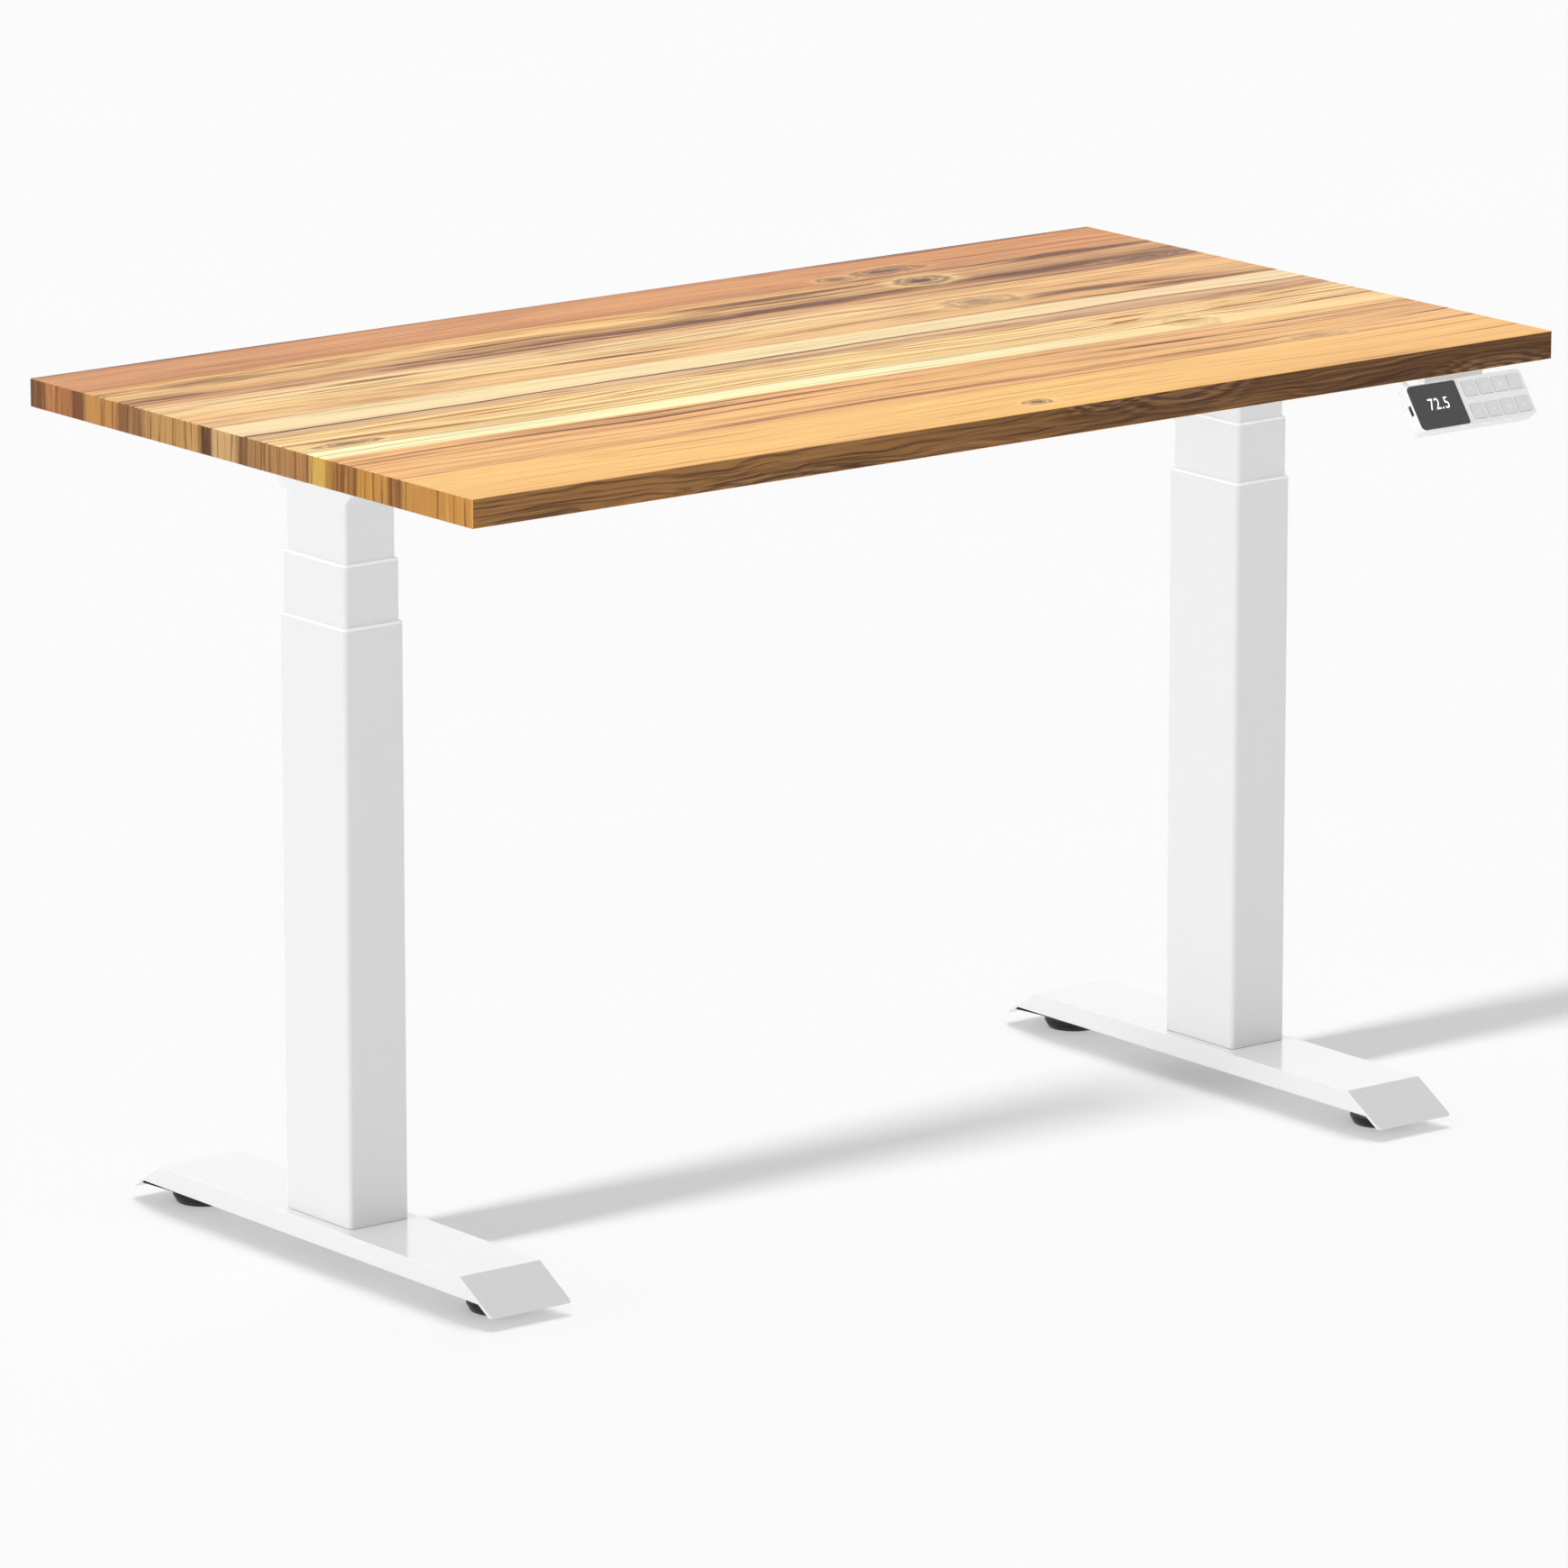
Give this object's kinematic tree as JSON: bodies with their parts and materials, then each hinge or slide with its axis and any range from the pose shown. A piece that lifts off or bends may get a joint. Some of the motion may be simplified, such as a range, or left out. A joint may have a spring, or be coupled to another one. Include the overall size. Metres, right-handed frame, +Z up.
{
  "type": "height adjustable standing desk",
  "caption": "Rectangular wooden worktop on an electric frame: telescopic columns with lead screws lift it, flat feet stand on glides, and a keypad handset hangs under the front edge.",
  "frame": {"origin": "on the floor, midway between the two feet", "axes": "+X along the worktop towards the handset's end, +Y from the front edge to the back, +Z up"},
  "size_m": [1.174, 0.642, 0.725],
  "materials": {
    "oiled_wood": "laminated staves, satin oil",
    "white_powder_coat": "satin powder coat",
    "white_plastic": "fine satin",
    "bare_steel": "zinc plated",
    "black_plastic": "fine texture",
    "glide_plastic": "satin nylon",
    "lead_sheath": "matt sheath",
    "circuit_board": "solder mask",
    "display_window": "smooth window",
    "button_plastic": "satin"
  },
  "bodies": {
    "left_base": {"left_foot": "white_powder_coat", "left_outer_tube": "white_powder_coat", "left_outer_guide_bush": "white_plastic", "left_column_base_plate": "bare_steel", "left_spindle_pillar": "bare_steel", "left_lower_screw_nut": "black_plastic"},
    "left_middle_stage": {"left_middle_tube": "white_powder_coat", "left_middle_guide_bush": "white_plastic", "left_nut_tube": "bare_steel", "left_upper_screw_nut": "black_plastic"},
    "right_base": {"right_foot": "white_powder_coat", "right_outer_tube": "white_powder_coat", "right_outer_guide_bush": "white_plastic", "right_column_base_plate": "bare_steel", "right_spindle_pillar": "bare_steel", "right_lower_screw_nut": "black_plastic"},
    "right_middle_stage": {"right_middle_tube": "white_powder_coat", "right_middle_guide_bush": "white_plastic", "right_nut_tube": "bare_steel", "right_upper_screw_nut": "black_plastic"},
    "top": {"desktop": "oiled_wood", "front_rail": "white_powder_coat", "rear_rail": "white_powder_coat", "left_inner_tube": "white_powder_coat", "left_side_bracket": "white_powder_coat", "left_gearbox_housing": "black_plastic", "left_motor": "bare_steel", "left_motor_lead": "lead_sheath", "right_inner_tube": "white_powder_coat", "right_side_bracket": "white_powder_coat", "right_gearbox_housing": "black_plastic", "right_motor": "bare_steel", "right_motor_lead": "lead_sheath", "control_box_case": "black_plastic", "control_box_mounting_plate": "black_plastic", "control_box_circuit_board": "circuit_board", "mains_inlet": "black_plastic", "handset_front_shell": "white_plastic", "handset_back_shell": "white_plastic", "handset_display": "display_window", "handset_circuit_board": "circuit_board", "handset_charging_socket": "black_plastic", "handset_bracket": "white_plastic", "handset_lead": "lead_sheath"},
    "left_upper_screw": {"left_upper_lead_screw": "bare_steel"},
    "left_lower_screw": {"left_lower_lead_screw": "bare_steel"},
    "left_front_foot_glide": {"left_front_glide": "glide_plastic"},
    "left_rear_foot_glide": {"left_rear_glide": "glide_plastic"},
    "right_upper_screw": {"right_upper_lead_screw": "bare_steel"},
    "right_lower_screw": {"right_lower_lead_screw": "bare_steel"},
    "right_front_foot_glide": {"right_front_glide": "glide_plastic"},
    "right_rear_foot_glide": {"right_rear_glide": "glide_plastic"},
    "up_button": {"handset_up_button": "button_plastic"},
    "down_button": {"handset_down_button": "button_plastic"},
    "memory_1_button": {"handset_memory_1_button": "button_plastic"},
    "memory_2_button": {"handset_memory_2_button": "button_plastic"},
    "memory_3_button": {"handset_memory_3_button": "button_plastic"},
    "memory_4_button": {"handset_memory_4_button": "button_plastic"},
    "menu_button": {"handset_menu_button": "button_plastic"},
    "alarm_button": {"handset_alarm_button": "button_plastic"}
  },
  "joints": [
    {"name": "desk_lift", "type": "slide", "parent": "left_base", "child": "top", "axis": [0, 0, 1], "range_m": [-0.1, 0.55]},
    {"name": "right_leg_lift", "type": "slide", "parent": "top", "child": "right_base", "axis": [0, 0, -1], "range_m": [-0.1, 0.55]},
    {"name": "left_middle_stage_slide", "type": "slide", "parent": "left_base", "child": "left_middle_stage", "axis": [0, 0, 1], "range_m": [-0.05, 0.275]},
    {"name": "right_middle_stage_slide", "type": "slide", "parent": "right_base", "child": "right_middle_stage", "axis": [0, 0, 1], "range_m": [-0.05, 0.275]},
    {"name": "left_upper_screw_turn", "type": "hinge", "parent": "top", "child": "left_upper_screw", "pos_m": [-0.49, 0, 0.3], "axis": [0, 0, 1], "range_deg": [-2251, 12381]},
    {"name": "left_lower_screw_turn", "type": "hinge", "parent": "left_middle_stage", "child": "left_lower_screw", "pos_m": [-0.49, 0, 0.3], "axis": [0, 0, 1], "range_deg": [-2251, 12381]},
    {"name": "right_upper_screw_turn", "type": "hinge", "parent": "top", "child": "right_upper_screw", "pos_m": [0.49, 0, 0.3], "axis": [0, 0, 1], "range_deg": [-2251, 12381]},
    {"name": "right_lower_screw_turn", "type": "hinge", "parent": "right_middle_stage", "child": "right_lower_screw", "pos_m": [0.49, 0, 0.3], "axis": [0, 0, 1], "range_deg": [-2251, 12381]},
    {"name": "left_front_glide_height", "type": "slide", "parent": "left_base", "child": "left_front_foot_glide", "axis": [0, 0, -1], "range_m": [0, 0.01]},
    {"name": "left_rear_glide_height", "type": "slide", "parent": "left_base", "child": "left_rear_foot_glide", "axis": [0, 0, -1], "range_m": [0, 0.01]},
    {"name": "right_front_glide_height", "type": "slide", "parent": "right_base", "child": "right_front_foot_glide", "axis": [0, 0, -1], "range_m": [0, 0.01]},
    {"name": "right_rear_glide_height", "type": "slide", "parent": "right_base", "child": "right_rear_foot_glide", "axis": [0, 0, -1], "range_m": [0, 0.01]},
    {"name": "up_button_press", "type": "slide", "parent": "top", "child": "up_button", "axis": [0, 0.8192, -0.5736], "range_m": [0, 0.0008], "stiffness_N_per_m": 900, "springref_m": -0.0008},
    {"name": "down_button_press", "type": "slide", "parent": "top", "child": "down_button", "axis": [0, 0.8192, -0.5736], "range_m": [0, 0.0008], "stiffness_N_per_m": 900, "springref_m": -0.0008},
    {"name": "memory_1_button_press", "type": "slide", "parent": "top", "child": "memory_1_button", "axis": [0, 0.8192, -0.5736], "range_m": [0, 0.0008], "stiffness_N_per_m": 900, "springref_m": -0.0008},
    {"name": "memory_2_button_press", "type": "slide", "parent": "top", "child": "memory_2_button", "axis": [0, 0.8192, -0.5736], "range_m": [0, 0.0008], "stiffness_N_per_m": 900, "springref_m": -0.0008},
    {"name": "memory_3_button_press", "type": "slide", "parent": "top", "child": "memory_3_button", "axis": [0, 0.8192, -0.5736], "range_m": [0, 0.0008], "stiffness_N_per_m": 900, "springref_m": -0.0008},
    {"name": "memory_4_button_press", "type": "slide", "parent": "top", "child": "memory_4_button", "axis": [0, 0.8192, -0.5736], "range_m": [0, 0.0008], "stiffness_N_per_m": 900, "springref_m": -0.0008},
    {"name": "menu_button_press", "type": "slide", "parent": "top", "child": "menu_button", "axis": [0, 0.8192, -0.5736], "range_m": [0, 0.0008], "stiffness_N_per_m": 900, "springref_m": -0.0008},
    {"name": "alarm_button_press", "type": "slide", "parent": "top", "child": "alarm_button", "axis": [0, 0.8192, -0.5736], "range_m": [0, 0.0008], "stiffness_N_per_m": 900, "springref_m": -0.0008}
  ],
  "couplings": [
    {"joint": "right_leg_lift", "follows": "desk_lift", "ratio": 1},
    {"joint": "left_middle_stage_slide", "follows": "desk_lift", "ratio": 0.5},
    {"joint": "right_middle_stage_slide", "follows": "desk_lift", "ratio": 0.5},
    {"joint": "left_upper_screw_turn", "follows": "desk_lift", "rad_per_m": 392.7},
    {"joint": "left_lower_screw_turn", "follows": "desk_lift", "rad_per_m": 392.7},
    {"joint": "right_upper_screw_turn", "follows": "desk_lift", "rad_per_m": 392.7},
    {"joint": "right_lower_screw_turn", "follows": "desk_lift", "rad_per_m": 392.7}
  ]
}
